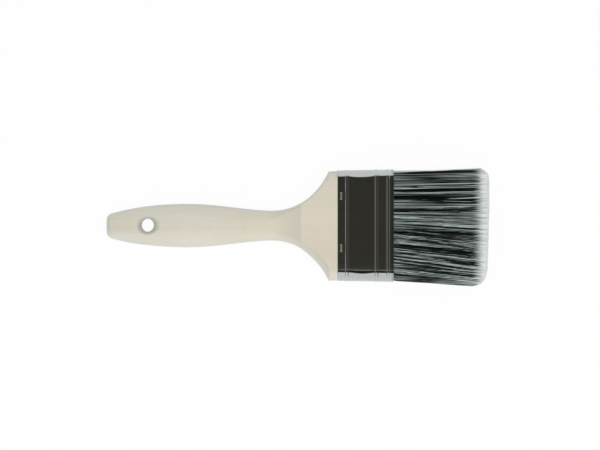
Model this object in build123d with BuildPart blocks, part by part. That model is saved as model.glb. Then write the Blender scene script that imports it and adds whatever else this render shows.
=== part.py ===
"""Flat wall brush, 3 in wide, lying on its broad side with its tips towards +X.

The frame is in millimetres: X runs along the brush, Y across its width and Z up
through its thickness. The origin lies under the middle of the brush, on the
surface that the ferrule's beads stand on.
"""

from build123d import *
from math import cos, pi, sin, sqrt
import os

os.makedirs("parts", exist_ok=True)

# Ferrule: a band of sheet steel with three beads rolled round it
ferrule_width = 76.0
ferrule_thickness = 19.0
ferrule_length = 38.0
ferrule_corner = 8.0
sheet = 0.4
bead_width = 2.7
bead_height = 0.5
bead_places = (6.5, 26.1, 34.0)  # from the ferrule's edge on the handle's side

# Handle: a shaped wooden grip that widens into the block held by the ferrule
handle_reach = 157.5  # butt to ferrule
tenon_length = 11.0
butt_width = 13.6
butt_thickness = 10.0
butt_rounding = 2.5
belly_place = 105.6  # places on the handle are measured back from the ferrule
belly_width = 29.8
belly_thickness = 16.0
neck_place = 45.0
neck_width = 20.3
neck_thickness = 12.4
cove_place = 38.0
arris_place = 24.7
arris_length = 20.4
arris_rounding = 6.2
shoulder_place = 6.0
grip_flatness = 0.06  # share of the grip's half width and half thickness that is flat

# Hanging hole, countersunk from both faces
hole_place = 128.8
hole_diameter = 8.9
countersink_diameter = 15.4
countersink_angle = 100.0

# Staples through the ferrule into the handle
staple_place = 2.65
staple_offsets = {"left": 19.7, "right": -15.4}  # across the brush, from its axis
staple_crown = 5.6
staple_width = 1.2
staple_gauge = 0.45
staple_leg = 7.0
staple_bend = 0.3
staple_point = 0.2

# Filaments, the resin that they are set in and the two spacers between them
length_out = 65.0
setting_depth = 7.0
slice_depth = 2.0
plug_width = 70.0
plug_thickness = 2.4
plug_offset = 3.2  # axis of the brush to the middle of a spacer
plug_rounding = 1.0
plug_embedment = 4.0  # into the setting
plug_setback = 5.0  # behind the ferrule's mouth
rows_outer = 3
rows_middle = 3
filament_pitch = 1.6
filament_width = 1.25
filament_depth = 0.95
filament_tip = 0.9
filament_clearance = 0.25
tip_width = 81.0
tip_thickness = 15.8
tip_rounding = 8.0
tip_chisel = 3.5  # how much shorter the outermost rows are
tip_raggedness = 1.2
tip_sway = 0.15
sway_step = 7.0  # radians from one filament's sway to the next
golden_step = 0.618  # spreads the ragged lengths evenly, with no pattern to be seen

# Fits: what is drawn, driven or cast in place touches its neighbour
driven_fit = 0.0
cast_fit = 0.0

# Places along X
overall_length = handle_reach + ferrule_length + length_out
butt_x = -overall_length / 2
ferrule_x = butt_x + handle_reach
mouth_x = ferrule_x + ferrule_length
tip_x = mouth_x + length_out
belly_x = ferrule_x - belly_place
neck_x = ferrule_x - neck_place
cove_x = ferrule_x - cove_place
arris_x = ferrule_x - arris_place
shoulder_x = ferrule_x - shoulder_place
hole_x = ferrule_x - hole_place
staple_x = ferrule_x + staple_place
tenon_x = ferrule_x + tenon_length
slice_x = tenon_x + setting_depth
root_x = slice_x + slice_depth / 2
plug_x = slice_x - plug_embedment
plug_length = mouth_x - plug_setback - plug_x

# Sections that follow from the ferrule
axis_height = ferrule_thickness / 2 + bead_height
inner_width = ferrule_width - 2 * sheet
inner_thickness = ferrule_thickness - 2 * sheet
inner_corner = ferrule_corner - sheet
block_width = inner_width - 2 * driven_fit
block_thickness = inner_thickness - 2 * driven_fit
block_corner = inner_corner - driven_fit


def station(x, y=0, z=0):
    """Plane across the brush at x, its origin y and z away from the axis."""
    return Plane(origin=(x, y, axis_height + z), x_dir=(0, 1, 0), z_dir=(1, 0, 0))


def ellipse_size(middle, end, share):
    """Half size at a share of the way along an ellipse, from middle to end."""
    return middle * sqrt(1 - (1 - (end / middle) ** 2) * share**2)


def wave_size(start, end, share):
    """Size at a share of the way from start to end, level at both."""
    return start + (end - start) * (1 - cos(pi * share)) / 2


def arc_rise(run, full_run, full_rise):
    """Rise after run of an arc, level at first, that gains full_rise over full_run."""
    radius = (full_run**2 + full_rise**2) / (2 * full_rise)
    return radius - sqrt(radius**2 - run**2)


def half_width(x):
    """Half the handle's width at x."""
    if x <= belly_x:
        share = (belly_x - x) / (belly_x - butt_x)
        return ellipse_size(belly_width / 2, butt_width / 2, share)
    if x <= neck_x:
        share = (x - belly_x) / (neck_x - belly_x)
        return wave_size(belly_width / 2, neck_width / 2, share)
    full_rise = (block_width - neck_width) / 2
    return neck_width / 2 + arc_rise(x - neck_x, shoulder_x - neck_x, full_rise)


def half_thickness(x):
    """Half the handle's thickness at x."""
    if x <= belly_x:
        share = (belly_x - x) / (belly_x - butt_x)
        return ellipse_size(belly_thickness / 2, butt_thickness / 2, share)
    if x <= neck_x:
        share = (x - belly_x) / (neck_x - belly_x)
        return wave_size(belly_thickness / 2, neck_thickness / 2, share)
    if x <= cove_x:
        return neck_thickness / 2
    if x <= arris_x:
        full_rise = (block_thickness - neck_thickness) / 2
        return neck_thickness / 2 + arc_rise(x - cove_x, arris_x - cove_x, full_rise)
    return block_thickness / 2


def edge_rounding(x):
    """Width and height of the section's rounded corners at x."""
    grip = (1 - grip_flatness) * half_width(x), (1 - grip_flatness) * half_thickness(x)
    arris = half_width(arris_x) - arris_length / 2, arris_rounding
    if x <= cove_x:
        return grip
    if x <= arris_x:
        share = (x - cove_x) / (arris_x - cove_x)
        return tuple(wave_size(a, b, share) for a, b in zip(grip, arris))
    share = (x - arris_x) / (shoulder_x - arris_x)
    return tuple(wave_size(a, block_corner, share) for a in arris)


def handle_section(x):
    """Rounded section of the handle at x: four flats joined by quarter ellipses."""
    wide, thick = half_width(x), half_thickness(x)
    round_y, round_z = edge_rounding(x)
    flat_y, flat_z = wide - round_y, thick - round_z
    with BuildSketch(station(x)) as section:
        with BuildLine():
            Line((wide, -flat_z), (wide, flat_z))
            EllipticalCenterArc((flat_y, flat_z), round_y, round_z, 0, arc_size=90)
            Line((flat_y, thick), (-flat_y, thick))
            EllipticalCenterArc((-flat_y, flat_z), round_y, round_z, 90, arc_size=90)
            Line((-wide, flat_z), (-wide, -flat_z))
            EllipticalCenterArc((-flat_y, -flat_z), round_y, round_z, 180, arc_size=90)
            Line((-flat_y, -thick), (flat_y, -thick))
            EllipticalCenterArc((flat_y, -flat_z), round_y, round_z, 270, arc_size=90)
        make_face()
    return section.sketch


def stations(start, *legs):
    """Places of a loft's sections: from start, even steps to the end of each leg."""
    places = [start]
    for end, steps in legs:
        begin = places[-1]
        places += [begin + (end - begin) * step / steps for step in range(1, steps + 1)]
    return places


def inside_section(x, fit):
    """Section of what fills the ferrule at x, smaller by the fit all round."""
    with BuildSketch(station(x)) as section:
        RectangleRounded(inner_width - 2 * fit, inner_thickness - 2 * fit, inner_corner - fit)
    return section.sketch


def staple(y, side):
    """Staple with its crown on the ferrule's face, side +1 for the front."""
    face = Plane(
        origin=(staple_x, y, axis_height + side * ferrule_thickness / 2),
        x_dir=(0, side, 0),
        z_dir=(1, 0, 0),
    )
    with BuildPart() as wire:
        with BuildSketch(face) as outline:
            with Locations((0, staple_gauge)):
                Rectangle(staple_crown, staple_gauge + staple_leg, align=(Align.CENTER, Align.MAX))
            fillet(outline.vertices().group_by(Axis.Y)[-1], staple_bend)
            Rectangle(
                staple_crown - 2 * staple_gauge,
                staple_leg,
                align=(Align.CENTER, Align.MAX),
                mode=Mode.SUBTRACT,
            )
            chamfer(outline.vertices().group_by(Axis.Y)[0], staple_point)
        extrude(amount=staple_width / 2, both=True)
    return wire.part


def bead_ring(x, thinner):
    """Ring of round section that raises a bead at x, thinner by the sheet inside it."""
    radius = (bead_width**2 / 4 + bead_height**2) / (2 * bead_height)
    depth = radius - bead_height
    with BuildSketch(station(x)) as loop:
        RectangleRounded(
            ferrule_width - 2 * depth, ferrule_thickness - 2 * depth, ferrule_corner - depth
        )
    path = loop.sketch.wire()
    with BuildPart() as ring:
        with BuildSketch(Plane(origin=path @ 0, z_dir=path % 0)):
            Circle(radius - thinner)
        sweep(path=path)
    return ring.part


def row_places(low, high, count):
    """Heights of count rows of filaments spread evenly between two faces."""
    return [low + (high - low) * (i + 0.5) / count for i in range(count)]


def row_half_width(z):
    """How far out from the axis the outermost filament of the row at z may stand."""
    over = max(0, abs(z) + filament_depth / 2 - (inner_thickness / 2 - inner_corner))
    reach = inner_width / 2 - inner_corner + sqrt(inner_corner**2 - over**2)
    return reach - filament_width / 2 - filament_clearance


def filament(root_y, root_z, tip_y, tip_z, end_x):
    """Four-sided filament, straight up to the mouth and leaning from there to its tip."""
    with BuildPart() as strand:
        for x, y, z in ((root_x, root_y, root_z), (mouth_x, root_y, root_z)):
            with BuildSketch(station(x, y, z)):
                Rectangle(filament_width, filament_depth)
        with BuildSketch(station(end_x, tip_y, tip_z)):
            Rectangle(filament_tip, filament_tip)
        loft(ruled=True)
    return strand.part


def trimmed_length(tip_y, tip_z):
    """How far a tip stops short of the longest: round at the edges, chiselled in depth."""
    past = max(0, abs(tip_y) - (tip_width / 2 - tip_rounding))
    corner = tip_rounding - sqrt(tip_rounding**2 - min(past, tip_rounding) ** 2)
    return corner + tip_chisel * (2 * tip_z / tip_thickness) ** 2


def row_of_filaments(row, root_z, tip_z):
    """One row of filaments across the brush; odd rows have one fewer, so they interleave."""
    half, widest = row_half_width(root_z), row_half_width(0)
    fan = (tip_width - filament_tip) / 2 / widest
    gaps = round(2 * half / filament_pitch) - row % 2
    strands = []
    for i in range(gaps + 1):
        root_y = half * (2 * i / gaps - 1)
        freedom = 1 - (root_y / widest) ** 2  # the outermost filaments lie true
        tip_y = root_y * fan + tip_sway * freedom * sin(sway_step * i + row)
        ragged = tip_raggedness * freedom * (golden_step * (i + row) % 1)
        end_x = tip_x - trimmed_length(tip_y, tip_z) - ragged
        strands.append(filament(root_y, root_z, tip_y, tip_z, end_x))
    return strands


# Staples, driven through the ferrule's two broad faces
sides = {"front": 1, "back": -1}
staples = {}
for side_name, side in sides.items():
    for offset_name, offset in staple_offsets.items():
        name = f"staple_{side_name}_{offset_name}"
        staples[name] = staple(offset, side)
        staples[name].label = name
        export_step(staples[name], f"parts/{name}.step")

# Handle: grip, shoulder and block in one piece of wood
with BuildPart() as handle:
    grip = stations(butt_x, (belly_x, 7), (neck_x, 6), (cove_x, 2), (arris_x, 5))
    loft([handle_section(x) for x in grip])
    fillet(handle.faces().sort_by(Axis.X)[0].edges(), butt_rounding)
    loft([handle_section(x) for x in stations(arris_x, (shoulder_x, 8))])
    extrude(inside_section(shoulder_x, driven_fit), amount=tenon_x - shoulder_x)
    crown = half_thickness(hole_x)
    for side in sides.values():
        with Locations(Plane(origin=(hole_x, 0, axis_height + side * crown), z_dir=(0, 0, side))):
            CounterSinkHole(
                radius=hole_diameter / 2,
                counter_sink_radius=countersink_diameter / 2,
                counter_sink_angle=countersink_angle,
                depth=2 * crown,
            )
    add(list(staples.values()), mode=Mode.SUBTRACT)
handle.part.label = "handle"
export_step(handle.part, "parts/handle.step")

# Ferrule: solid outside first, then hollowed to the sheet's thickness, beads included
with BuildPart() as ferrule:
    with BuildSketch(station(ferrule_x)):
        RectangleRounded(ferrule_width, ferrule_thickness, ferrule_corner)
    extrude(amount=ferrule_length)
    for place in bead_places:
        add(bead_ring(ferrule_x + place, 0))
    extrude(inside_section(ferrule_x, 0), amount=ferrule_length, mode=Mode.SUBTRACT)
    for place in bead_places:
        add(bead_ring(ferrule_x + place, sheet), mode=Mode.SUBTRACT)
    add(list(staples.values()), mode=Mode.SUBTRACT)
ferrule.part.label = "ferrule"
export_step(ferrule.part, "parts/ferrule.step")

# Spacers: two boards that part the filaments into three packs
plugs = {}
for side_name, side in sides.items():
    with BuildPart() as plug:
        with BuildSketch(station(plug_x, z=side * plug_offset)):
            RectangleRounded(plug_width, plug_thickness, plug_rounding)
        extrude(amount=plug_length)
    plug.part.label = f"spacer_plug_{side_name}"
    export_step(plug.part, f"parts/{plug.part.label}.step")
    plugs[side_name] = plug.part

# Setting: the resin block between the handle and the filaments, cast round the spacers
with BuildPart() as setting:
    extrude(inside_section(tenon_x, cast_fit), amount=setting_depth)
    add(list(plugs.values()), mode=Mode.SUBTRACT)
setting.part.label = "epoxy_setting"
export_step(setting.part, "parts/epoxy_setting.step")

# Bristles: three packs, each of rows of filaments rooted in its own slice of the resin
plug_inner = plug_offset - plug_thickness / 2
plug_outer = plug_offset + plug_thickness / 2
wall = inner_thickness / 2
row_pitch_at_tip = (tip_thickness - filament_tip) / (2 * rows_outer + rows_middle - 1)
packs = {
    "front": (row_places(plug_outer, wall, rows_outer), plug_offset, wall),
    "middle": (row_places(-plug_inner, plug_inner, rows_middle), -plug_offset, plug_offset),
    "back": (row_places(-wall, -plug_outer, rows_outer), -wall, -plug_offset),
}
first_row = {"back": 0, "middle": rows_outer, "front": rows_outer + rows_middle}
middle_row = (2 * rows_outer + rows_middle - 1) / 2
strand_count = 0
for pack_name, (heights, low, high) in packs.items():
    strands = []
    for step, root_z in enumerate(heights):
        row = first_row[pack_name] + step
        strands += row_of_filaments(row, root_z, (row - middle_row) * row_pitch_at_tip)
    strand_count += len(strands)
    with BuildPart() as pack:
        extrude(inside_section(slice_x, cast_fit), amount=slice_depth)
        with Locations((slice_x, 0, axis_height + low)):
            Box(
                slice_depth,
                inner_width,
                high - low,
                align=(Align.MIN, Align.CENTER, Align.MIN),
                mode=Mode.INTERSECT,
            )
        add(list(plugs.values()), mode=Mode.SUBTRACT)
        add(strands)
    pack.part.label = f"bristles_{pack_name}"
    export_step(pack.part, f"parts/{pack.part.label}.step")
print("strands in all", strand_count)
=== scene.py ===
"""Flat wall brush, 3 in wide, lying on its broad side: wooden handle, beaded steel
ferrule and synthetic filaments with pale tips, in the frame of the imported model."""

from math import cos, pi, radians, sin, sqrt, tan

import bmesh
import bpy
import numpy as np
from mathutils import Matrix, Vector


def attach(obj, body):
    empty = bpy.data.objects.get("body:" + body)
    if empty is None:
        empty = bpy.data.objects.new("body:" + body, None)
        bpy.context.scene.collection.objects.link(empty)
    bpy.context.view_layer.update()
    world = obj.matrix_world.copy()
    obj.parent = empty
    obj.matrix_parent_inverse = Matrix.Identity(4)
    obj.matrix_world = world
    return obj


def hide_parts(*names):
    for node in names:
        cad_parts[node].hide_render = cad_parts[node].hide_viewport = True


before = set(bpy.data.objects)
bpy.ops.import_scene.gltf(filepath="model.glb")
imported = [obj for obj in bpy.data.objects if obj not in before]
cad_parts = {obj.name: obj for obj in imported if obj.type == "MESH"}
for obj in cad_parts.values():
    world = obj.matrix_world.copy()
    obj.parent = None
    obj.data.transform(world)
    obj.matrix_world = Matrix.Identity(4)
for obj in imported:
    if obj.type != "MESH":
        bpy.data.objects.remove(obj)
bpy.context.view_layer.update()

# --------------------------------------
# Handle: pale beech, spindle-shaped and sanded. A slim grip with a countersunk
# hanging hole runs out through a cove to an arris, then to the block that the
# ferrule is pressed on to. Only a thin clear lacquer is on it.

MM = 0.001
axis_height = 10.0 * MM

butt_x = -129.45 * MM
hole_x = -101.55 * MM
belly_x = -76.0 * MM
flatten_x = -34.0 * MM  # where the grip's section starts to flatten
neck_x = -17.75 * MM
cove_start = -14.5 * MM
waist_x = -13.5 * MM
cove_x = -10.75 * MM
arris_x = 2.55 * MM
shoulder_x = 21.25 * MM
ferrule_x = 27.25 * MM
tenon_x = 38.25 * MM

belly_half = 14.75 * MM, 8.0 * MM  # half width, half thickness
butt_half = 7.28 * MM, 5.0 * MM
neck_half = 10.08 * MM, 6.2 * MM
block_half = 37.15 * MM, 9.08 * MM
bow_power = 1.85  # of the grip's line from belly to butt: 2 is a quarter ellipse
waist_power = 1.06  # above 1, the wave from belly to waist starts late
cove_power = 1.7  # of the faces' rise along the cove
block_ease = 0.10 * MM, 0.05 * MM  # over which the block's sides and faces cut in
block_corner = 7.6 * MM
arris_half = 10.2 * MM
arris_round = 6.2 * MM
grip_flat = 0.06  # share of the grip's half sizes that is flat
shoulder_crease = 0.28  # how far the shoulder's rounding starts with an edge
crease_end = shoulder_x - 1 * MM, shoulder_x + 1 * MM  # where that fades out
shoulder_sides = 0.3, 1.0  # how wide that rounding is at +Y and at -Y
sides_start = -20 * MM, -2 * MM  # where those widths come in
sides_end = shoulder_x - 2 * MM, shoulder_x + 1 * MM  # and where they go out
shoulder_swell = 0.65 * MM, 1.1 * MM  # how much fuller it is sawn at +Y and at -Y
swell_late = 3, 1.6  # above 1, that swell is fullest near the corner
swell_x = -3 * MM  # where it starts
butt_drop = 0.2 * MM  # how far the grip's end leans to -Y
butt_lean = -116 * MM, -97 * MM  # where that lean fades out
block_drop = 0.3 * MM  # how far the block stands to -Y of the ferrule
block_lean = 24 * MM, ferrule_x
butt_rounding = 2.8 * MM

hole_radius = 4.45 * MM
hole_aside = 0.27 * MM  # how far the hole is to +Y of the axis
sink_aside = 0.45 * MM  # and the sink to +Y of the hole
sink_radius = 7.7 * MM
sink_depth = (sink_radius - hole_radius) / tan(radians(50))
sink_hollow = 1.35  # power of the sink's curve: 1 is a straight cone
sink_ease = 0.04 * MM
hole_edge = 0.12 * MM  # how far its edge is rubbed down
column_half = 30  # columns of the upper face each side of the axis
flat_columns = 0.5  # share of them on the block's flat
hole_rings = 8  # rings of the grid that the hole takes out
plain_ring = 17  # the ring from which the grid turns plain again
hole_reach = 22  # and the one at which it is plain
sink_step = 0.65 * MM


def soft_least(a, b, ease):
    """The lesser of a and b, with the corner between them eased over a distance."""
    low, gap = np.minimum(a, b), np.abs(a - b)
    return low - ease * np.log1p(np.exp(-np.minimum(gap / ease, 60)))


def smooth_step(value, low, high):
    """0 below low, 1 above high, and a level-ended cubic between them."""
    share = np.clip((value - low) / (high - low), 0, 1)
    return share * share * (3 - 2 * share)


def wave(start, end, share):
    """From start to end along half a cosine wave, level at both."""
    return start + (end - start) * (1 - np.cos(pi * np.clip(share, 0, 1))) / 2


def arc(run, full_run, full_rise):
    """Rise of a circular arc that starts level and gains full_rise over full_run."""
    radius = (full_run**2 + full_rise**2) / (2 * full_rise)
    return radius - np.sqrt(radius**2 - np.clip(run, 0, 0.995 * radius) ** 2)


def grip_size(x, k):
    """Half size of the grip at x: nearly a quarter ellipse from belly to butt, and a
    wave from belly to waist."""
    back = np.clip((belly_x - x) / (belly_x - butt_x), 0, 1)
    bow = belly_half[k] * np.sqrt(1 - (1 - (butt_half[k] / belly_half[k]) ** 2) * back**bow_power)
    fore = np.clip((x - belly_x) / (waist_x - belly_x), 0, 1) ** waist_power
    return np.where(x < belly_x, bow, wave(belly_half[k], neck_half[k], fore))


def half_width(x):
    """Half width at x: the grip, then an arc from the neck that the block cuts off."""
    rise = arc(x - neck_x, shoulder_x - neck_x, block_half[0] - neck_half[0])
    return soft_least(grip_size(x, 0) + rise, block_half[0], block_ease[0])


def half_thickness(x):
    """Half thickness at x: the grip, then a rise up the cove to the arris, by a power
    of the way along it, then level."""
    way = np.maximum(x - cove_start, 0) / (arris_x - cove_start)
    rise = (block_half[1] - neck_half[1]) * way**cove_power
    return soft_least(grip_size(x, 1) + rise, block_half[1], block_ease[1])


def rounding(x):
    """Width and height of the rounded edge at x, and how creased its inner side is. A
    wave leads from the grip's own sizes to the arris's, and one on to the corner's."""
    up = (x - flatten_x) / (arris_x - flatten_x)
    out = (x - arris_x) / (shoulder_x - arris_x)
    at_arris = float(half_width(np.array([arris_x]))[0]) - arris_half
    sizes = []
    for half, arris in ((half_width(x), at_arris), (half_thickness(x), arris_round)):
        grip = (1 - grip_flat) * half
        block = wave(arris, block_corner, out)
        sizes.append(np.select([x < flatten_x, x < arris_x], [grip, wave(grip, arris, up)], block))
    creased = shoulder_crease * smooth_step(x, cove_x, arris_x)
    return *sizes, creased * (1 - smooth_step(x, *crease_end))


def side_share(x, side):
    """How wide the rounded edge is on one side of the handle, as a share of its plain
    size: the shoulder's own share up to the shoulder, else 1."""
    full = np.where(side > 0, *shoulder_sides)
    return 1 + (full - 1) * smooth_step(x, *sides_start) * (1 - smooth_step(x, *sides_end))


def top_height(x, y, inset=0.0):
    """Height of the upper face over the axis at (x, y): level across the middle, then
    a quarter ellipse down to the side, all drawn in by the inset."""
    wide, thick = half_width(x) - inset, half_thickness(x) - inset
    across, down, crease = rounding(x)
    across, down = across * side_share(x, y) - inset, down - inset
    out = np.clip((np.abs(y) - (wide - across)) / across, 0, 1)
    return thick - down + down * ((1 - crease) * np.sqrt(1 - out**2) + crease * (1 - out))


def column_places(x, inset=0.0):
    """Where the columns of the upper face stand across it at each x: spread like a
    sine over the grip, and on the shoulder evenly over the flat, then by angle."""
    share = np.linspace(1, -1, 2 * column_half + 1)[None, :]
    side, out = np.sign(share), np.abs(share)
    wide = (half_width(x) - inset)[:, None]
    across = rounding(x)[0][:, None] * side_share(x[:, None], side) - (inset + 0 * x)[:, None]
    grip = wide * np.sin(pi / 2 * out)
    turn = np.clip((out - flat_columns) / (1 - flat_columns), 0, 1)
    block = (wide - across) * np.minimum(out / flat_columns, 1) + across * np.sin(pi / 2 * turn)
    return side * (grip + (block - grip) * smooth_step(x, neck_x, cove_x + 4 * MM)[:, None])


def drawn_aside(x, y):
    """How far the places at (x, y) are drawn to -Y: the grip's end and the block a
    little, and the shoulder's sides outwards in half a sine wave, least at the axis."""
    out = np.clip(np.abs(y) / half_width(x), 0, 1)
    run = np.clip((x - swell_x) / (shoulder_x - swell_x), 0, 1)
    plus, minus = (size * np.sin(pi * run**late) for size, late in zip(shoulder_swell, swell_late))
    swell = np.where(y < 0, minus, -plus)
    butt = 1 - smooth_step(x, *butt_lean)
    block = smooth_step(x, arris_x, shoulder_x) * (1 - smooth_step(x, *block_lean))
    return butt_drop * butt * out + block_drop * block * out + swell * out**2


def square_rings(rows, columns):
    """Ring number and angle of each grid place round the middle one, where a ring is
    a square of the grid and its places are spread evenly round a circle."""
    safe_row, safe_column = np.where(rows == 0, 1, rows), np.where(columns == 0, 1, columns)
    angle = np.where(
        np.abs(rows) >= np.abs(columns),
        pi / 4 * columns / safe_row + np.where(rows < 0, pi, 0),
        np.sign(columns) * pi / 2 - pi / 4 * rows / safe_column,
    )
    return np.maximum(np.abs(rows), np.abs(columns)), angle


def sink_height(x, y):
    """Height of the countersink at places (x, y): a bowl that steepens to the hole,
    its depth a power of the distance inwards from its rim."""
    out = np.hypot(x - hole_x, y - hole_aside - sink_aside)
    crown = float(half_thickness(np.array([hole_x]))[0])
    share = (sink_radius - out) / (sink_radius - hole_radius)
    return crown - sink_depth * np.sign(share) * np.abs(share) ** sink_hollow


def rim_radius(angle):
    """Distance at which the sink comes out of the upper face, found by halving."""
    low, high = hole_radius + 0 * angle, sink_radius + 2.3 * MM + 0 * angle
    for _ in range(30):
        middle = (low + high) / 2
        x, y = hole_x + middle * np.cos(angle), hole_aside + middle * np.sin(angle)
        inside = top_height(x, y) > sink_height(x, y)
        low, high = np.where(inside, middle, low), np.where(inside, high, middle)
    return (low + high) / 2


def ring_distance(ring, angle):
    """Distance of each ring from the hole's middle: its edge, down the bowl by shares
    of its width, close past the rim, and on in even steps."""
    rim = rim_radius(angle)
    span = rim - hole_radius
    near = [hole_radius + d for d in (0, 0.1 * MM, 0.3 * MM, 0.4 * span, 0.75 * span)]
    near.append(rim - np.minimum(0.35 * MM, 0.18 * span))
    near += [rim + d * MM for d in (-0.12, 0.08, 0.3, 0.7)]
    rings = hole_rings + np.arange(len(near))
    return np.select([ring <= n for n in rings], near, near[-1] + (ring - rings[-1]) * 0.8 * MM)


def grid_faces(rows, columns, ring_rows=False, ring_columns=False):
    """Corner numbers of a grid's quads; a ring closes on itself."""
    i = np.arange(rows if ring_rows else rows - 1)[:, None]
    j = np.arange(columns if ring_columns else columns - 1)[None, :]
    below, beside = (i + 1) % rows, (j + 1) % columns
    corners = i * columns + j, below * columns + j, below * columns + beside, i * columns + beside
    return np.stack(np.broadcast_arrays(*corners), -1)


def new_piece(name, points, faces, finish, sharp=40, merge=0.002 * MM):
    """Mesh object of points and faces: doubles merged, points that no face uses left
    out, faces turned outwards, smooth but for edges sharper than the angle."""
    mesh = bpy.data.meshes.new(name)
    mesh.from_pydata(points.reshape(-1, 3).tolist(), [], faces)
    if merge:
        work = bmesh.new()
        work.from_mesh(mesh)
        bmesh.ops.remove_doubles(work, verts=work.verts, dist=merge)
        unused = [spot for spot in work.verts if not spot.link_faces]
        bmesh.ops.delete(work, geom=unused, context="VERTS")
        bmesh.ops.recalc_face_normals(work, faces=work.faces)
        work.to_mesh(mesh)
        work.free()
    mesh.shade_smooth()
    mesh.set_sharp_from_angle(angle=radians(sharp))
    mesh.materials.append(finish)
    piece = bpy.data.objects.new(name, mesh)
    bpy.context.scene.collection.objects.link(piece)
    return piece


def handle_rows():
    """Where the handle's rows stand along X, how far each is drawn in for the butt's
    quarter-round edge, and its scale: 0 closes the two ends."""
    turn = np.linspace(0, pi / 2, 7)
    nose = butt_x + butt_rounding * (1 - np.sin(turn))[::-1]
    rise = block_half[0] - neck_half[0]
    plan_radius = ((shoulder_x - neck_x) ** 2 + rise**2) / (2 * rise)
    bow = np.linspace(0, radians(70.3), 46)
    near = (hole_reach + 1) * sink_step
    plain = np.concatenate([
        np.linspace(nose[-1] + 0.8 * MM, hole_x - near, 12),
        hole_x + np.arange(-hole_reach, hole_reach + 1) * sink_step,
        np.linspace(hole_x + near, neck_x, 34),
        np.linspace(cove_x, arris_x, 12),
        arris_x + np.array([-0.5, -0.25, -0.1, 0.1, 0.25, 0.5]) * MM,
        neck_x + plan_radius * np.sin(bow[1:]),
        shoulder_x + np.array([-0.3, -0.15, 0.0, 0.1, 0.25, 0.6, 1.2]) * MM,
        np.linspace(ferrule_x - 3 * MM, tenon_x, 8),
    ])
    x = np.concatenate([[butt_x] * 3, nose, np.unique(np.round(plain, 7)), [tenon_x] * 2])
    inset, scale = np.zeros_like(x), np.ones_like(x)
    inset[:3] = butt_rounding
    inset[3 : 3 + len(nose)] = butt_rounding * (1 - np.cos(turn))[::-1]
    scale[:3], scale[-2:] = (0, 0.4, 0.8), (0.5, 0)
    return x, inset, scale


def handle_surface():
    """Closed surface of the handle: rows of upper and lower face along X, with the
    rows' columns drawn round the hole, and the hole's wall between the two faces."""
    x, inset, scale = handle_rows()
    y = column_places(x, inset)
    middle_row = int(np.argmin(np.abs(x - hole_x)))
    rows = np.arange(len(x))[:, None] - middle_row + 0 * y
    columns = column_half - np.arange(y.shape[1])[None, :] + 0 * y
    ring, angle = square_rings(rows, columns)
    plan_x = x[:, None] + 0 * y
    outs = ring_distance(ring, angle)
    share = smooth_step(ring, plain_ring, hole_reach)
    near = (ring <= hole_reach) & (np.abs(rows) <= hole_reach)
    round_x, round_y = hole_x + outs * np.cos(angle), hole_aside + outs * np.sin(angle)
    at_x = np.where(near, round_x + (plan_x - round_x) * share, plan_x)
    at_y = np.where(near, round_y + (y - round_y) * share, y)
    height = top_height(at_x, at_y, inset[:, None])
    sunk = soft_least(height, sink_height(at_x, at_y), sink_ease)
    sunk = sunk - hole_edge * (ring == hole_rings)
    height = np.where(near & (ring < hole_reach), sunk, height)
    at_y = at_y - drawn_aside(at_x, at_y)
    at_y, height = at_y * scale[:, None], height * scale[:, None]

    upper = np.stack([at_x, at_y, axis_height + height], -1)
    lower = np.stack([at_x, at_y, axis_height - height], -1)[:, ::-1]
    points = np.concatenate([upper, lower], 1)
    width = points.shape[1]
    faces = grid_faces(len(x), width, ring_columns=True)
    keep = np.ones(faces.shape[:2], bool)
    cut = slice(middle_row - hole_rings, middle_row + hole_rings)
    for first in (column_half - hole_rings, width // 2 + column_half - hole_rings):
        keep[cut, first : first + 2 * hole_rings] = False
    faces = faces[keep]

    # the wall's rings, from the hole's upper edge down to the lower one
    step = np.arange(-hole_rings, hole_rings)
    loop_row = np.concatenate([step, 0 * step + hole_rings, -step, 0 * step - hole_rings])
    at_row, at_column = middle_row + loop_row, column_half + np.roll(loop_row, len(step))
    top, bottom = points[at_row, at_column], points[at_row, width - 1 - at_column]
    wall = top + (bottom - top) * np.array([0, 0.03, 0.5, 0.97, 1])[:, None, None]
    wall_faces = grid_faces(*wall.shape[:2], ring_columns=True).reshape(-1, 4) + points[..., 0].size
    points = np.concatenate([points.reshape(-1, 3), wall.reshape(-1, 3)])
    return points, np.concatenate([faces, wall_faces]).tolist()


class Wire:
    """An output socket of a finish; sums on it add Math nodes to that finish."""

    def __init__(self, finish, socket):
        self.finish, self.socket = finish, socket

    def __add__(self, other):
        return self.finish.sum("ADD", self, other)

    def __sub__(self, other):
        return self.finish.sum("SUBTRACT", self, other)

    def __rsub__(self, other):
        return self.finish.sum("SUBTRACT", other, self)

    def __mul__(self, other):
        return self.finish.sum("MULTIPLY", self, other)

    __radd__, __rmul__ = __add__, __mul__


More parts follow.
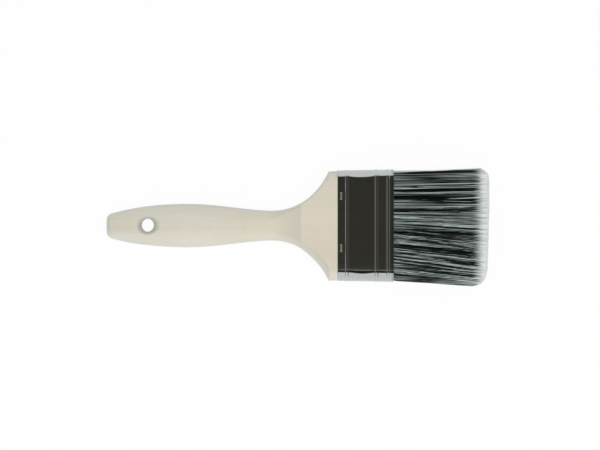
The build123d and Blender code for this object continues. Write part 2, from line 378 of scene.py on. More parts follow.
class Finish:
    """The nodes of one material, or of the world, added one at a time."""

    def __init__(self, owner):
        owner.use_nodes = True
        self.owner, self.nodes, self.links = owner, owner.node_tree.nodes, owner.node_tree.links
        self.nodes.clear()

    def node(self, kind, settings=None, sockets=None, out=0):
        """Adds a node of a kind, Blender's name without its ShaderNode: its settings
        first, then a value or a wire for each socket."""
        node = self.nodes.new("ShaderNode" + kind)
        for name, value in (settings or {}).items():
            if name == "stops":
                for place, colour in value[2:]:
                    node.color_ramp.elements.new(place)
                for stop, (place, colour) in zip(node.color_ramp.elements, value):
                    stop.position, stop.color = place, (*colour, 1)
            else:
                setattr(node, name, value)
        for name, value in (sockets or {}).items():
            if isinstance(value, Wire):
                self.links.new(value.socket, node.inputs[name])
            elif isinstance(value, tuple) and node.inputs[name].type == "RGBA":
                node.inputs[name].default_value = (*value, 1)
            else:
                node.inputs[name].default_value = value
        return Wire(self, node.outputs[out]) if node.outputs else None

    def sum(self, operation, *terms):
        """A Math node on wires and numbers."""
        return self.node("Math", {"operation": operation}, dict(enumerate(terms)))

    def blend(self, share, first, second):
        """The colour between first and second at a share."""
        return self.node("Mix", {"data_type": "RGBA"}, {0: share, 6: first, 7: second}, 2)

    def rise(self, value, low, high):
        """0 where the value is below low, 1 above high, and smooth between them."""
        return self.node(
            "MapRange",
            {"interpolation_type": "SMOOTHSTEP"},
            {"Value": value, "From Min": low, "From Max": high},
        )

    def place(self, stretch=(1, 1, 1)):
        """Object coordinates in metres, stretched along each axis."""
        plain = self.node("TexCoord", out="Object")
        return self.node("Mapping", None, {"Vector": plain, "Scale": stretch})

    def part(self, vector, axis):
        """One part of a vector: 0, 1 and 2 are along X, Y and Z."""
        return self.node("SeparateXYZ", None, {0: vector}, axis)

    def noise(self, stretch, detail=2.0, roughness=0.5):
        """Cloudy noise from 0 to 1, its grains 1 m over the stretch along each axis."""
        grain = {"Vector": self.place(stretch), "Scale": 1.0, "Detail": detail}
        return self.node("TexNoise", None, grain | {"Roughness": roughness})

    def bump(self, height, distance):
        """Normals of a surface whose height, from 0 to 1, is a distance in metres."""
        return self.node("Bump", None, {"Height": height, "Distance": distance})

    def surface(self, **sockets):
        """The material's Principled shader, on its output."""
        named = {name.replace("_", " "): value for name, value in sockets.items()}
        shader = self.node("BsdfPrincipled", None, named)
        self.node("OutputMaterial", None, {"Surface": shader})
        return self.owner


def tint(red, green, blue):
    """Linear colour of a screen colour given from 0 to 255: a power of 2.4, and a
    straight line near black."""
    return tuple(
        ((c / 255 + 0.055) / 1.055) ** 2.4 if c > 10 else c / 3294 for c in (red, green, blue)
    )


def pale_beech():
    """Lacquered beech: broad soft figure and fine fibres along X, short flecks, and a
    warmer cast from grip to block. Painted shade tints the steep sides cooler, greys
    the slopes that face along X, partly for the darker end grain there, and darkens
    the countersink towards the hanging hole."""
    wood = Finish(bpy.data.materials.new("pale_beech"))
    figure = wood.noise((7, 120, 90), 3.0)
    fibres = wood.noise((45, 2100, 1500), 3.0, 0.6)
    pores = wood.rise(wood.noise((260, 5200, 4200), 1.0), 0.66, 0.74)
    flecks = pores * wood.rise(wood.noise((30, 160, 160)), 0.42, 0.6)
    depth = 0.62 * figure + 0.38 * fibres
    to_block = wood.rise(wood.part(wood.place(), 0) * 1000, -62, -34)
    pale = wood.blend(to_block, tint(225, 220, 207), tint(221, 213, 195))
    plain = wood.blend(wood.rise(depth, 0.3, 0.72), pale, tint(213, 205, 189))
    marked = wood.blend(flecks * 0.45, plain, tint(170, 150, 124))

    normal = wood.node("TexCoord", out="Normal")
    endways, level = wood.part(normal, 0), wood.part(normal, 2) * wood.part(normal, 2)
    # painted shade: the steeper a surface, the more it is tinted cool grey, as shaded sides look
    sides = wood.blend(0.65 * (1 - level), marked, tint(220, 223, 217))
    # painted shade on slopes that face along X, partly for the greyer end grain cut across there
    cut = 0.94 * wood.sum("ABSOLUTE", endways) * level * level
    sloped = wood.blend(cut, sides, tint(163, 165, 154))

    # painted shade: darker down the countersink towards the hole, as a recess is shaded
    hole = {0: wood.place((1, 1, 0)), 1: (hole_x, 0, 0)}
    from_hole = wood.node("VectorMath", {"operation": "DISTANCE"}, hole, "Value")
    sink_shade = 1 - wood.rise(from_hole * 1000, 4.4, 7.4)
    return wood.surface(
        Base_Color=wood.blend(0.4 * sink_shade, sloped, tint(140, 140, 128)),
        Roughness=0.43 + 0.14 * fibres,
        IOR=1.47,
        Coat_Weight=0.35 + 0.2 * figure,
        Coat_Roughness=0.28,
        Normal=wood.bump(0.75 * fibres - 0.6 * flecks, 0.06 * MM),
    )


handle = new_piece("handle_turned", *handle_surface(), pale_beech(), sharp=50)
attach(handle, "root")
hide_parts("handle")

# --------------------------------------
# Resin setting and spacers: the filaments are cast into a block of dark epoxy
# behind two thin boards that part them. All of it is hidden in the ferrule.

resin_x = 38.25 * MM
resin_end = 45.25 * MM
resin_half = 36.9 * MM, 8.95 * MM
resin_corner = 8.6 * MM


def rounded_loop(half_y, half_z, corner, per_corner, per_side):
    """Points of a rounded rectangle, anticlockwise from its right side: quarter
    circles joined by evenly divided straight sides."""
    turn = np.linspace(0, pi / 2, per_corner + 1)
    ends = np.stack([np.cos(turn), np.sin(turn)], -1) * corner
    runs = []
    for quarter, (sign_y, sign_z) in enumerate(((1, 1), (-1, 1), (-1, -1), (1, -1))):
        along_y, along_z = cos(quarter * pi / 2), sin(quarter * pi / 2)
        spin = np.array([[along_y, along_z], [-along_z, along_y]])
        runs.append(ends @ spin + (sign_y * (half_y - corner), sign_z * (half_z - corner)))
    shares = (np.arange(1, per_side) / per_side)[:, None]
    sides = [a[-1] + (b[0] - a[-1]) * shares for a, b in zip(runs, runs[1:] + runs[:1])]
    return np.concatenate([part for pair in zip(runs, sides) for part in pair])


def poured_block():
    """The resin: one rounded section carried along X, a little domed at its end by
    the meniscus, and closed at both ends."""
    loop = rounded_loop(*resin_half, resin_corner, 8, 6)
    x = np.concatenate([[resin_x] * 2, resin_end + np.array([-0.3, 0, 0.3, 0.4]) * MM])
    scale = np.array([0, 1, 1, 0.995, 0.9, 0])[:, None, None]
    length = np.broadcast_to(x[:, None, None], (len(x), len(loop), 1))
    points = np.concatenate([length, loop[None] * scale + (0, axis_height)], -1)
    return points, grid_faces(len(x), len(loop), ring_columns=True).reshape(-1, 4).tolist()


def cast_epoxy():
    """Dark amber epoxy, glossy, with a cloudy cast and fine ripples."""
    resin = Finish(bpy.data.materials.new("cast_epoxy"))
    clouds = resin.noise((220, 220, 220), 3.0)
    return resin.surface(
        Base_Color=resin.blend(clouds, tint(58, 44, 26), tint(104, 80, 46)),
        Roughness=0.16 + 0.12 * clouds,
        Normal=resin.bump(clouds, 0.1 * MM),
    )


def spacer_board():
    """Grey-brown pressed board of the spacers, with its felted fibres."""
    board = Finish(bpy.data.materials.new("spacer_board"))
    felt = board.noise((400, 1600, 1600), 4.0, 0.7)
    return board.surface(
        Base_Color=board.blend(felt, tint(150, 122, 88), tint(196, 168, 128)),
        Roughness=0.7 + 0.2 * felt,
        Normal=board.bump(felt, 0.1 * MM),
    )


setting = new_piece("resin_setting", *poured_block(), cast_epoxy())
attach(setting, "root")
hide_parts("epoxy_setting")

board = spacer_board()
for side in ("front", "back"):
    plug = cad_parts[f"spacer_plug_{side}"]
    plug.data.materials.clear()
    plug.data.materials.append(board)

# --------------------------------------
# Filaments: tapered synthetic bristle in three packs, some thousands of them,
# near-black, slate and grey mixed, with bleached tips. They leave the ferrule
# side by side, fan out and gather in small locks that wave and cross.

root_x = 46.4 * MM
mouth_x = 65.25 * MM
tip_x = 130.25 * MM
pack_half = 37.4 * MM, 9.0 * MM
pack_corner = 7.6 * MM
pack_layers = {  # lowest and highest over the axis in mm, at the roots and the tips
    "front": (4.45, 9.0, 2.63, 7.9),
    "middle": (-1.95, 1.95, -2.63, 2.63),
    "back": (-9.0, -4.45, -7.9, -2.63),
}
filament_spacing = 0.34 * MM
row_pitch = 0.87  # of the rows of even triangles, in spacings
root_shake = 0.05 * MM, 0.03 * MM
filament_radius = 0.155 * MM
flag = 0.21 * MM, 0.08 * MM  # half width and half thickness of a tip, flagged flat
along = np.array([0, 0, 0.06, 0.15, 0.27, 0.4, 0.54, 0.69, 0.84, 1.0])  # bends, from mouth to tip
bends = len(along)

rim_share = 0.9  # of the half width, past which filaments have tones of their own
dark_edge, white_edge = 0.92, 0.962  # where at +Y they turn black, then white, the white a painted highlight along that edge
white_height = 1.0 * MM  # over the axis, above which they do
# across the brush: places at the roots as shares of the half width, and tips in mm
fan_roots = (-1, -0.93, -0.58, -0.28, -0.06, 0.21, 0.7, dark_edge, white_edge, 0.966, 1)
fan_tips = (-41.3, -39.3, -30.0, -17.2, -7.6, 7.0, 27.4, 35.8, 39.0, 38.5, 37.8)
tip_half_depth = 7.9 * MM
tip_round = 8.2 * MM, 13.5 * MM  # of the trimmed corners at +Y and at -Y
tip_chisel = 2.2 * MM
trim_places = (-41, -36, -29, -20, -10, 0, 9)  # across the brush, in mm
trim_bow = (0.4, -0.3, -0.85, -0.6, -0.15, 0.0, 0.35)  # how far the end stands out there
trim_ragged = 0.7 * MM
mouth_bulge = 0.5 * MM  # of the outermost at -Y, just out of the ferrule

lock_spacing = 0.86 * MM, 0.6 * MM  # across and through the brush
lock_shuffle = 0.16  # how unevenly filaments join the locks, in spacings
# turns over the free length, and sizes across and through in mm
lock_waves = (0.35, 0.5, 0.5), (0.9, 0.12, 0.3), (1.8, 0.03, 0.16)
lock_crossing = 1.5 * MM, 0.25  # how far a lock wanders aside, and the share that do
lock_gather = 0.45, 0.22  # how much it draws together, over what share of its length
stray = 0.20 * MM, 0.16 * MM  # of each filament alone, across and through

dye_tones, dye_odds = (0.0, 0.34, 0.62, 1.0), (0.44, 0.24, 0.19, 0.13)
lock_loyal = 0.83  # share of filaments dyed as their lock is
pale_bunches = (  # place across the brush and spread in mm, and how much paler
    (5.5, 4.5, 0.3), (2.8, 2.0, 0.26), (-8.5, 3.0, 0.16), (-20.5, 2.6, 0.08), (-31.5, 2.2, 0.2),
    (-3.7, 2.0, -0.22), (13.5, 2.4, -0.3), (22.5, 3.6, -0.28), (-14.5, 2.2, -0.2),
    (-25.6, 3.2, -0.36),
)


def spread_roots(rng, low, high):
    """Places (y, z) over a layer of the ferrule's rounded inside, from an even grid
    of triangles with a little shake, those outside the rounded corners left out."""
    rows = int(round((high - low) / (filament_spacing * row_pitch)))
    columns = int(2 * pack_half[0] / filament_spacing)
    row, column = np.meshgrid(np.arange(rows), np.arange(columns), indexing="ij")
    y = (column + 0.5 * (row % 2) + 0.25) / columns * 2 * pack_half[0] - pack_half[0]
    z = low + (row + 0.5) / rows * (high - low)
    y = y + rng.normal(0, root_shake[0], y.shape)
    z = z + rng.normal(0, root_shake[1], z.shape)
    y, z = y.ravel(), z.ravel()
    over = np.maximum(np.abs(z) - (pack_half[1] - pack_corner), 0)
    reach = pack_half[0] - pack_corner + np.sqrt(np.maximum(pack_corner**2 - over**2, 0))
    inside = (np.abs(y) < reach - filament_radius) & (np.abs(z) < pack_half[1] - filament_radius)
    return y[inside], z[inside]


def joined_locks(rng, y, z):
    """The lock that each filament belongs to: the nearest place of a coarse grid, by
    uneven steps."""
    lock_y = np.round(y / lock_spacing[0] + rng.normal(0, lock_shuffle, len(y)))
    lock_z = np.round(z / lock_spacing[1] + rng.normal(0, lock_shuffle, len(z)))
    return np.unique(np.stack([lock_y, lock_z]), axis=1, return_inverse=True)[1].ravel()


def trimmed_ends(rng, edge, tip_y, tip_z):
    """Where the filaments end along X: at the brush's length, bowed across it, less
    round at the two corners, less a chisel through it, each a little short."""
    reach = np.where(edge > 0, max(fan_tips), -fan_tips[0]) * MM
    bend = np.where(edge > 0, *tip_round)
    past = np.clip(np.abs(tip_y) - (reach - bend), 0, bend)
    corner = bend - np.sqrt(bend**2 - past**2)
    ragged = trim_ragged * rng.random(len(edge)) ** 2
    bow = np.interp(tip_y / MM, trim_places, trim_bow) * MM
    return tip_x + bow - corner - tip_chisel * (tip_z / tip_half_depth) ** 2 - ragged


def filament_paths(rng, y, z, lock, low, high, tip_low, tip_high):
    """Lines of the filaments as (filament, place, xyz).

    A line runs straight to the mouth and fans out evenly to its tip. Each lock of
    neighbours shares slow waves across and through the brush and is drawn together
    at one place; each filament adds a small stray of its own that grows to the tip.
    """
    count, locks = len(y), lock.max() + 1
    edge = y / pack_half[0]
    tip_y = np.interp(edge, fan_roots, fan_tips) * MM
    tip_z = tip_low + (z - low) / (high - low) * (tip_high - tip_low)
    end = trimmed_ends(rng, edge, tip_y, tip_z)
    path_x = mouth_x + (end - mouth_x)[:, None] * along
    path_x[:, 0] = root_x

    s = along[None, :]
    free = (1 - edge**4)[:, None]
    outer = np.clip(-edge, 0, 1)[:, None] ** 12
    bulge = -mouth_bulge * outer * np.exp(-4 * s) * (np.arange(bends) > 1)
    sway, heave = np.zeros((2, count, bends))
    for turns, across, through in lock_waves:
        for swung, size in ((sway, across), (heave, through)):
            phase = rng.uniform(0, 2 * pi, locks)[lock][:, None]
            swing = rng.normal(0, 1, locks)[lock][:, None]
            swung += swing * size * MM * (np.sin(2 * pi * turns * s + phase) - np.sin(phase))
    wander, wandering = lock_crossing
    crossing = rng.normal(0, wander, locks) * (rng.random(locks) < wandering)
    sway += crossing[lock][:, None] * s**0.6
    drawn, length = lock_gather
    tied = rng.uniform(0.25, 1.0, locks)[lock][:, None]
    gather = drawn * np.exp(-(((s - tied) / length) ** 2)) * (s > 0)
    stray_y = rng.normal(0, stray[0], count)[:, None] * s**1.3 * free
    stray_z = rng.normal(0, stray[1], count)[:, None] * s**1.3

    ease = np.sqrt(s) * free
    paths = []
    for root, tip, swung, strayed in ((y, tip_y, sway, stray_y), (z, tip_z, heave, stray_z)):
        to_middle = (np.bincount(lock, root) / np.bincount(lock))[lock] - root
        spread = root[:, None] + (tip - root)[:, None] * s
        paths.append(spread + swung * ease + strayed + gather * to_middle[:, None])
    limit = (1 - s) * pack_half[1] + s * tip_half_depth - filament_radius / 2
    path_z = np.clip(paths[1], -limit, limit)
    return np.stack([path_x, paths[0] + bulge, axis_height + path_z], -1)


def filament_dyes(rng, y, z, lock):
    """Each filament's tone from black, 0, to pale, 1, and how its bleached tip is
    shifted along it. A lock is dyed alike, but for some single filaments. Bunches
    are paler or darker, and the outermost have tones of their own: at +Y a black band,
    then a white one that is a painted highlight."""
    count, edge = len(y), y / pack_half[0]
    lock_tone = rng.choice(dye_tones, lock.max() + 1, p=dye_odds)[lock]
    loyal = rng.random(count) < lock_loyal
    tone = np.where(loyal, lock_tone, rng.choice(dye_tones, count, p=dye_odds))
    upper = z > white_height
    # painted highlight: the upper filaments along the +Y edge are white along their whole length
    white, black = (edge > white_edge) & upper, (edge > dark_edge) & upper
    tone = np.select([white, black, edge < -rim_share], [1.0, 0.0, 0.5], tone)
    for middle, spread, lift in pale_bunches:
        near = np.exp(-(((y / MM - middle) / spread) ** 2))
        tone = tone + lift * near * (np.abs(edge) < rim_share)
    shift = rng.normal(0, 1, count) + 60 * white
    return np.clip(tone + rng.normal(0, 0.05, count), 0, 1), shift


def filament_skins(line):
    """Three-sided tubes round the lines, flatter and wider towards the tip: the
    corners of each stand at thirds of a turn across X, a triangle closes each end."""
    count, places, _ = line.shape
    turned = np.linspace(0, 7, count)[:, None, None]  # no two neighbours stand alike
    turn = 2 * pi * (np.arange(3)[None, None, :] / 3 + turned)
    flat = along[None, :, None] ** 5
    points = np.repeat(line[:, :, None, :], 3, 2)
    points[..., 1] += (filament_radius + (flag[0] - filament_radius) * flat) * np.cos(turn)
    points[..., 2] += (filament_radius + (flag[1] - filament_radius) * flat) * np.sin(turn)
    one = grid_faces(places, 3, ring_columns=True).reshape(-1, 4)
    first = (np.arange(count) * places * 3)[:, None, None]
    sides = (one[None] + first).reshape(-1, 4)[:, ::-1]
    caps = np.stack([first[:, 0] + (2, 1, 0), first[:, 0] + (0, 1, 2) + 3 * (places - 1)], 1)
    return points, sides, caps.reshape(-1, 3)


def bake_layout(mesh, count, places):
    """UV map in which every filament has its own cell of a square sheet, its length
    up the cell and its three sides across it, with a margin round them."""
    cells = int(np.ceil(sqrt(count)))
    number = np.arange(count)
    corner = np.stack([number % cells, number // cells], -1)[:, None, None, :]
    i, j = np.meshgrid(np.arange(places - 1), np.arange(3), indexing="ij")
    up = 0.04 + 0.96 * along
    up[0] = 0
    around = (1, 0), (1, 1), (0, 1), (0, 0)
    quad = np.stack([np.stack([(j + side) / 3, up[i + on]], -1) for side, on in around], 2)
    sides = (corner + 0.08 + 0.84 * quad.reshape(1, -1, 4, 2)) / cells
    root, tip = ((0.1, 0.02), (0.5, 0.02), (0.9, 0.05)), ((0.1, 0.98), (0.5, 0.98), (0.9, 0.95))
    caps = (corner + np.array([root, tip])) / cells
    flat = np.concatenate([sides.reshape(-1), caps.reshape(-1)]).astype(np.float32)
    mesh.uv_layers.new(name="OFBake").data.foreach_set("uv", flat)


def dyed_filament():
    """Extruded polyester, satin. Its dye goes by each filament's tone, uneven in long
    streaks and broad bands. Painted light makes it paler near the mouth than along the
    middle, and it pales again towards the tip. It is bleached from a line near the
    tips that is ragged on its dark side only."""
    strand = Finish(bpy.data.materials.new("dyed_filament"))
    tone = strand.node("Attribute", {"attribute_name": "tone"}, out="Fac")
    shift = strand.node("Attribute", {"attribute_name": "shift"}, out="Fac")
    length = strand.part(strand.place(), 0) * 1000
    streaks = strand.rise(strand.noise((8, 1500, 500), 1.0), 0.36, 0.64)
    bands = strand.noise((22, 190, 120), 1.0)
    # painted light: paler near the mouth than mid-length, and paler again towards the tip
    painted_end_light = strand.rise(length, 88, 119) - strand.rise(length, 66, 82)
    dye = strand.node(
        "ValToRGB",
        {"stops": [
            (0.0, tint(0, 13, 11)), (1.0, tint(216, 229, 226)), (0.4, tint(4, 28, 26)),
            (0.7, tint(75, 97, 93)),
        ]},
        {0: 1.2 * tone + 0.5 * streaks + 1.1 * bands + 0.22 * painted_end_light - 1.03},
    )
    ragged = 1.2 * shift * (1 - strand.rise(length, 122.0, 124.2))
    bleached = strand.rise(length + ragged, 119.2, 126.6)
    return strand.surface(
        Base_Color=strand.blend(bleached, dye, tint(230, 233, 232)),
        Roughness=0.36 + 0.2 * streaks + 0.14 * bleached,
        IOR=1.4,
    )


strand_finish = dyed_filament()
for seed, (pack, layer) in enumerate(pack_layers.items()):
    rng = np.random.default_rng(40 + seed)
    low, high, tip_low, tip_high = (value * MM for value in layer)
    root_y, root_z = spread_roots(rng, low, high)
    lock = joined_locks(rng, root_y, root_z)
    line = filament_paths(rng, root_y, root_z, lock, low, high, tip_low, tip_high)
    tone, shift = filament_dyes(rng, root_y, root_z, lock)
    points, sides, caps = filament_skins(line)
    faces = sides.tolist() + caps.tolist()
    bundle = new_piece(f"filaments_{pack}", points, faces, strand_finish, sharp=1, merge=0)
    for label, values in (("tone", tone), ("shift", shift)):
        spot = bundle.data.attributes.new(label, "FLOAT", "POINT")
        spot.data.foreach_set("value", np.repeat(values, bends * 3).astype(np.float32))
    bake_layout(bundle.data, len(line), bends)
    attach(bundle, "root")
    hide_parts(f"bristles_{pack}")

# --------------------------------------
# Ferrule: a band of 0.4 mm polished steel sheet, folded round the block, lapped
# on one narrow side and stiffened by three rolled beads. It flares slightly to
# the mouth, and its edges are rolled blunt.

sheet = 0.4 * MM
band_half = (37.55 * MM, 38.2 * MM), 9.5 * MM  # half widths at handle and mouth, half thickness
band_corner = 8.0 * MM
corner_power = 2.05, 2.0  # fullness of the corners at +Y and at -Y: 2 is a circle
panel_x, panel_run = 35.1 * MM, 16.9 * MM  # the plain panel between two beads
panel_leaner = 0.25  # how much less full its corner is at +Y
panel_swell = 2.4 * MM  # size of the swell in its corner at -Y
beads = (33.12, 0.75, 1.8), (53.1, 0.75, 1.8), (61.8, 1.75, 0.65)  # crown, run up, run down, in mm
bead_height = 0.48 * MM
bead_side = 0.45  # share of that height on the narrow sides
seam_depth, seam_half = 0.14 * MM, 0.16 * MM
lap_height, lap_fade, lap_reach = 0.1 * MM, 1.2 * MM, 1.6 * MM


def bead_rise(x):
    """How far the rolled beads stand out at x: a flat arc up to each crown and another
    down from it, of their own lengths, with eased feet."""
    rise = np.zeros_like(x)
    for crown, run_up, run_down in beads:
        out = (x / MM - crown) / np.where(x < crown * MM, run_up, run_down)
        bead = bead_height * (1 - out**2) * (1 - 0.3 * out**6)
        rise = rise + np.where(np.abs(out) < 1, bead, 0)
    return rise


def band_loop(half_y, half_z, corner, fullness):
    """Section (y, z) of the band for each row: straight sides joined by corners, the
    power of whose curve is their fullness, given for +Y and -Y."""
    turn = np.linspace(0, 1, 17)[None, :]
    corners = []
    for sign_y, sign_z in ((1, 1), (-1, 1), (-1, -1), (1, -1)):
        turned = turn if sign_y * sign_z > 0 else 1 - turn
        across, up = np.sin(pi / 2 * (1 - turned)), np.cos(pi / 2 * (1 - turned))
        power = 2 / fullness[sign_y < 0]
        y = sign_y * (half_y - corner + corner * across**power)
        z = sign_z * (half_z - corner + corner * up**power)
        corners.append(np.stack([y, z]))
    broad = np.arange(1, 16) / 16
    narrow = np.array([0.1, 0.25, 0.36, 0.43, 0.47, 0.5, 0.53, 0.57, 0.64, 0.75, 0.9])
    parts = []
    for bend, following, shares in zip(corners, corners[1:] + corners[:1], (broad, narrow) * 2):
        last, first = bend[..., -1:], following[..., :1]
        parts += [bend, last + (first - last) * shares]
    return np.concatenate(parts, -1)


def band_rows():
    """The sheet's outline along X and how deep it lies under the outside: along the
    outside, round the lip, back along the inside and round the other edge."""
    roll, turn = sheet / 2, np.linspace(0, pi, 7)[1:-1]
    up, down = np.linspace(-1.1, 0, 10), np.linspace(0.1, 1.1, 12)
    fine = [crown + np.concatenate([a * up, b * down]) for crown, a, b in beads]
    plain = [
        [27.45, 27.7], np.linspace(28.2, 32.1, 6), np.linspace(35.5, 51.8, 22),
        np.linspace(55.2, 59.6, 6), [63.5, 64.2, 64.8, 65.05],
    ]
    outside = np.sort(np.concatenate(fine + plain)) * MM
    inside = outside[::-2]
    lip, edge = mouth_x - roll + roll * np.sin(turn), ferrule_x + roll - roll * np.sin(turn)
    x = np.concatenate([outside, lip, inside, edge])
    depth = np.concatenate([
        0 * outside, roll - roll * np.cos(turn), 0 * inside + sheet, roll + roll * np.cos(turn),
    ])
    return x, depth


def folded_band():
    """The sheet's outline carried round the band's section; both ways it closes on
    itself. The panel's corner at -Y swells by a cubic of the way round it, and the
    lap is a groove along X with a step that fades out above it."""
    x, depth = band_rows()
    rise = bead_rise(x) - depth
    flare = (x - ferrule_x) / (mouth_x - ferrule_x)
    panel = np.sin(pi * np.clip((x - panel_x) / panel_run, 0, 1)) ** 2
    plain_y = band_half[0][0] + (band_half[0][1] - band_half[0][0]) * flare
    half_y = (plain_y + bead_side * bead_rise(x) - depth)[:, None]
    half_z, corner = (band_half[1] + rise)[:, None], (band_corner + rise)[:, None]
    fullness = (corner_power[0] - panel_leaner * panel**0.35)[:, None], corner_power[1]
    y, z = band_loop(half_y, half_z, corner, fullness)
    round_y = np.clip(1 - (y + half_y) / (band_corner - 0.6 * MM), 0, 1)
    z = z + np.sign(z) * panel_swell * panel[:, None] ** 0.6 * round_y**2 * (1 - round_y)
    seam = np.exp(-((z / seam_half) ** 2)) * (y < 0)
    step = 0.5 * (1 + np.tanh(z / lap_height)) * np.exp(-np.clip(z / lap_fade, 0, 9) ** 2)
    lapped = (y < 0) * (np.abs(z) < lap_reach) * (depth < sheet / 2)[:, None]
    lap = (seam_depth * seam - lap_height * step) * lapped
    points = np.stack([np.broadcast_to(x[:, None], y.shape), y + lap, z + axis_height], -1)
    return points, grid_faces(*y.shape, True, True).reshape(-1, 4).tolist()


def polished_steel():
    """Tin-plated steel, polished: fine scratches round the band, faint cloudy wipes,
    and a darker band of painted shade at the lip."""
    steel = Finish(bpy.data.materials.new("polished_steel"))
    scratches = steel.noise((9000, 160, 160), 2.0, 0.7)
    wipes = steel.noise((60, 60, 60), 3.0)
    # painted shade: the base colour darker over the lip, just before the mouth
    lip = steel.rise(steel.part(steel.place(), 0) * 1000, 63.4, 64.2)
    bright = steel.blend(wipes, tint(184, 188, 187), tint(192, 196, 195))
    return steel.surface(
        Base_Color=steel.blend(lip, bright, tint(160, 170, 165)),
        Metallic=1.0,
        Roughness=0.05 + 0.05 * wipes + 0.04 * scratches,
        Normal=steel.bump(scratches, 0.0012 * MM),
    )


band = new_piece("ferrule_band", *folded_band(), polished_steel(), sharp=60)
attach(band, "root")
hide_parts("ferrule")

# --------------------------------------
# Staples: four pieces of flattened steel wire, two through each broad face of
# the ferrule into the block. Their crowns are a little bowed and lie a hair
# out of square, as a stapling machine leaves them.

staple_x = 29.65 * MM
staple_half = 2.6 * MM  # half the crown, over its outside
staple_wire = 0.68 * MM, 0.225 * MM  # half width, half thickness of the wire
staple_edge = 0.16 * MM  # rounding of its edges
staple_leg = 6.8 * MM
staple_turn = 0.45 * MM
staple_bow = 0.10 * MM
staple_point = 0.35  # share of thickness left at a leg's point
staple_lean = {"left": 0.02, "right": -0.015}
staple_y = {"left": 20.0 * MM, "right": -15.1 * MM}


def staple_surface(y, side, lean):
    """Flattened wire carried down one leg, round a bend, along the bowed crown and
    down the other leg; its section is a rounded strip, drawn in at the two points."""
    turn = np.linspace(0, pi / 2, 7)
    reach = staple_half - staple_wire[1]
    arm = reach - staple_turn
    crown = np.linspace(-arm, arm, 13)[1:-1]
    top = staple_wire[1] * 0.9
    leg = np.array([-staple_leg, -staple_leg + 0.5 * MM, -3 * MM])
    across = np.concatenate([
        0 * leg - reach, -arm - staple_turn * np.cos(turn), crown,
        arm + staple_turn * np.sin(turn), 0 * leg + reach,
    ])
    down = np.concatenate([
        leg, top - staple_turn + staple_turn * np.sin(turn), top + 0 * crown,
        top - staple_turn + staple_turn * np.cos(turn), leg[::-1],
    ])
    lying = turn / (pi / 2)  # 0 where the wire stands on end, 1 where it lies
    level = np.concatenate([0 * leg, lying, 1 + 0 * crown, 1 - lying, 0 * leg])
    bow = staple_bow * (1 - (across / reach) ** 2) * level
    normal_y, normal_z = np.cos(pi / 2 * level) * np.sign(across), np.sin(pi / 2 * level)
    loop = rounded_loop(*staple_wire, staple_edge, 4, 1)
    thin = np.ones_like(across)
    thin[0] = thin[-1] = staple_point
    out = loop[None, :, 1] * thin[:, None]
    x = loop[None, :, 0] * (0.4 + 0.6 * thin)[:, None] + bow[:, None] + lean * across[:, None]
    aside = across[:, None] + out * normal_y[:, None]
    up = side * (down[:, None] + out * normal_z[:, None])
    points = np.stack([staple_x + x, y + aside, axis_height + side * band_half[1] + up], -1)
    tips = points[[0, -1]].mean(1, keepdims=True) + 0 * points[[0, -1]]
    points = np.concatenate([tips[:1], points, tips[1:]])
    return points, grid_faces(*points.shape[:2], ring_columns=True).reshape(-1, 4).tolist()


def staple_steel():
    """Bright drawn wire gone slightly grey, with lengthwise drawing marks."""
    wire = Finish(bpy.data.materials.new("staple_steel"))
    marks = wire.noise((9000, 700, 9000))
    return wire.surface(
        Base_Color=wire.blend(marks, tint(176, 171, 160), tint(206, 201, 190)),
        Metallic=0.85,
        Roughness=0.36 + 0.16 * marks,
        Normal=wire.bump(marks, 0.01 * MM),
    )


wire_finish = staple_steel()
for side_name, side in (("front", 1), ("back", -1)):
    for end_name, y in staple_y.items():
        skin = staple_surface(y, side, staple_lean[end_name])
        pin = new_piece(f"pin_{side_name}_{end_name}", *skin, wire_finish, sharp=60)
        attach(pin, "root")
        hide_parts(f"staple_{side_name}_{end_name}")

# --------------------------------------
# Table and light: a white table seen from straight above, a broad soft lamp
# overhead and a paler wall of light along the brush on each side, with a dark
# ceiling between them that the polished ferrule mirrors.

table_half = 4.0
table_drop = 0.05 * MM  # how far it lies under the brush
camera_height = 1.2
view_middle = 1.9 * MM, 0.41 * MM
view_width = 0.408
sensor_width = 36.0  # of the camera, in mm
lamp_place = Vector((0.5, -0.3, 2.0))


def light_path(finish):
    """Wires that are 1 for a ray from the camera, off a mirror and through glass."""
    rays = "Is Camera Ray", "Is Glossy Ray", "Is Transmission Ray"
    return (finish.node("LightPath", out=ray) for ray in rays)


def white_table():
    """Matt white table that keeps the brush's shadow faintly under a white ground."""
    top = Finish(bpy.data.materials.new("white_table"))
    from_camera, off_mirror, through_glass = light_path(top)
    seen = top.sum("MINIMUM", from_camera + off_mirror + through_glass, 1.0)
    speckle = top.blend(top.noise((300, 300, 300)), tint(236, 236, 235), tint(242, 242, 241))
    matt = {"Base Color": speckle, "Roughness": 1.0, "Specular IOR Level": 0.0}
    paper = top.node("BsdfPrincipled", None, matt)
    glow = top.node("Emission", None, {"Color": (1.0, 1.0, 1.0)})
    mixed = top.node("MixShader", None, {0: seen * 0.95, 1: paper, 2: glow})
    top.node("OutputMaterial", None, {"Surface": mixed})
    return top.owner


corners = np.array([[-1, -1, 0], [1, -1, 0], [1, 1, 0], [-1, 1, 0]]) * table_half
corners[:, 2] = -table_drop
table = new_piece("table", corners, [[0, 1, 2, 3]], white_table(), merge=0)


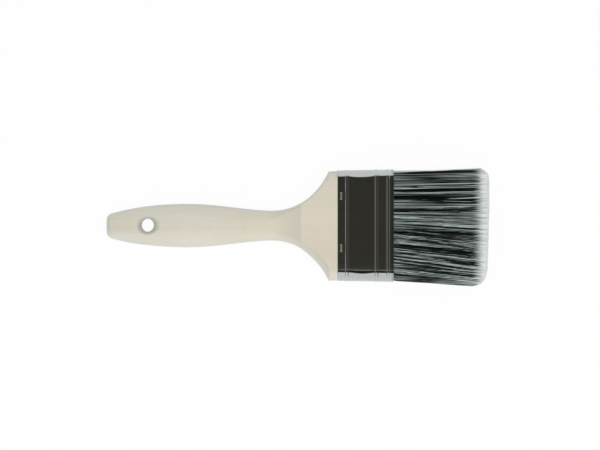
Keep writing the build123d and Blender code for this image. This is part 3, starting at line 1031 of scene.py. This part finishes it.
def studio_light(world):
    """Light by direction: walls of light low at +Y and higher at -Y, the near one
    fading to its ends, a narrow slot near the zenith, a grey glow from -X and a
    weaker one from +X, dark above. Matt surfaces see an even pale room instead, a
    little brighter from -Y, and the ground is white."""
    room = Finish(world)
    toward = room.node("TexCoord", out="Generated")
    x, y, z = (room.part(toward, axis) for axis in range(3))
    aside, nearward, leftward = room.sum("ABSOLUTE", x), y * -1, x * -1
    near = room.rise(nearward, 0.46, 0.52) * (1 - 0.55 * room.rise(aside, 0.3, 0.55))
    far = room.rise(y, 0.78, 0.84)
    slot = room.rise(nearward, 0.09, 0.11) * (1 - room.rise(nearward, 0.127, 0.147))
    slot = slot * (1 - room.rise(aside, 0.5, 0.8))
    gap = room.rise(nearward, 0.147, 0.17)
    left = 0.11 * room.rise(leftward, 0.1, 0.45) + 0.13 * room.rise(leftward, 0.6, 0.95)
    right = 0.035 * room.rise(x, 0.1, 0.4) + 0.12 * room.rise(x, 0.75, 0.97)
    level = 0.0543 - 0.034 * gap + left + right + 0.6 * slot + 0.94 * near + 0.94 * far

    plain = room.node("LightPath", out="Is Diffuse Ray")
    warm, cool = (1.0, 0.915, 0.75), (0.99, 1.0, 0.99)
    shade = room.blend(room.rise(level, 0.06, 0.3) + plain, warm, cool)
    even = 0.6 - 0.05 * x - 0.13 * y
    strength = room.sum("MINIMUM", level, 1.0) * (1 - plain) + even * plain
    low = 1 - room.rise(z, 0.0, 0.04)
    from_camera, off_mirror, through_glass = light_path(room)
    seen = from_camera + (off_mirror + through_glass) * low
    ground = room.node("Background", None, {"Color": (1.0, 1.0, 1.0)})
    light = room.node("Background", None, {"Color": shade, "Strength": strength})
    mixed = room.node("MixShader", None, {0: seen, 1: light, 2: ground})
    room.node("OutputWorld", None, {"Surface": mixed})


scene = bpy.context.scene
scene.world = bpy.data.worlds.new("studio")
studio_light(scene.world)

lamp = bpy.data.lights.new("lamp_overhead", "AREA")
lamp.shape, lamp.size, lamp.energy = "SQUARE", 1.1, 19.0
holder = bpy.data.objects.new("lamp_overhead", lamp)
holder.location = lamp_place
holder.rotation_euler = lamp_place.to_track_quat("Z", "Y").to_euler()
holder.visible_glossy = False
scene.collection.objects.link(holder)

lens = bpy.data.cameras.new("camera")
lens.sensor_width, lens.lens = sensor_width, camera_height * sensor_width / view_width
lens.clip_start, lens.clip_end = 0.01, 50.0
camera = bpy.data.objects.new("camera", lens)
camera.location = (*view_middle, axis_height + camera_height)
scene.collection.objects.link(camera)
scene.camera = camera
scene.view_settings.view_transform = "Standard"

bpy.context.view_layer.update()
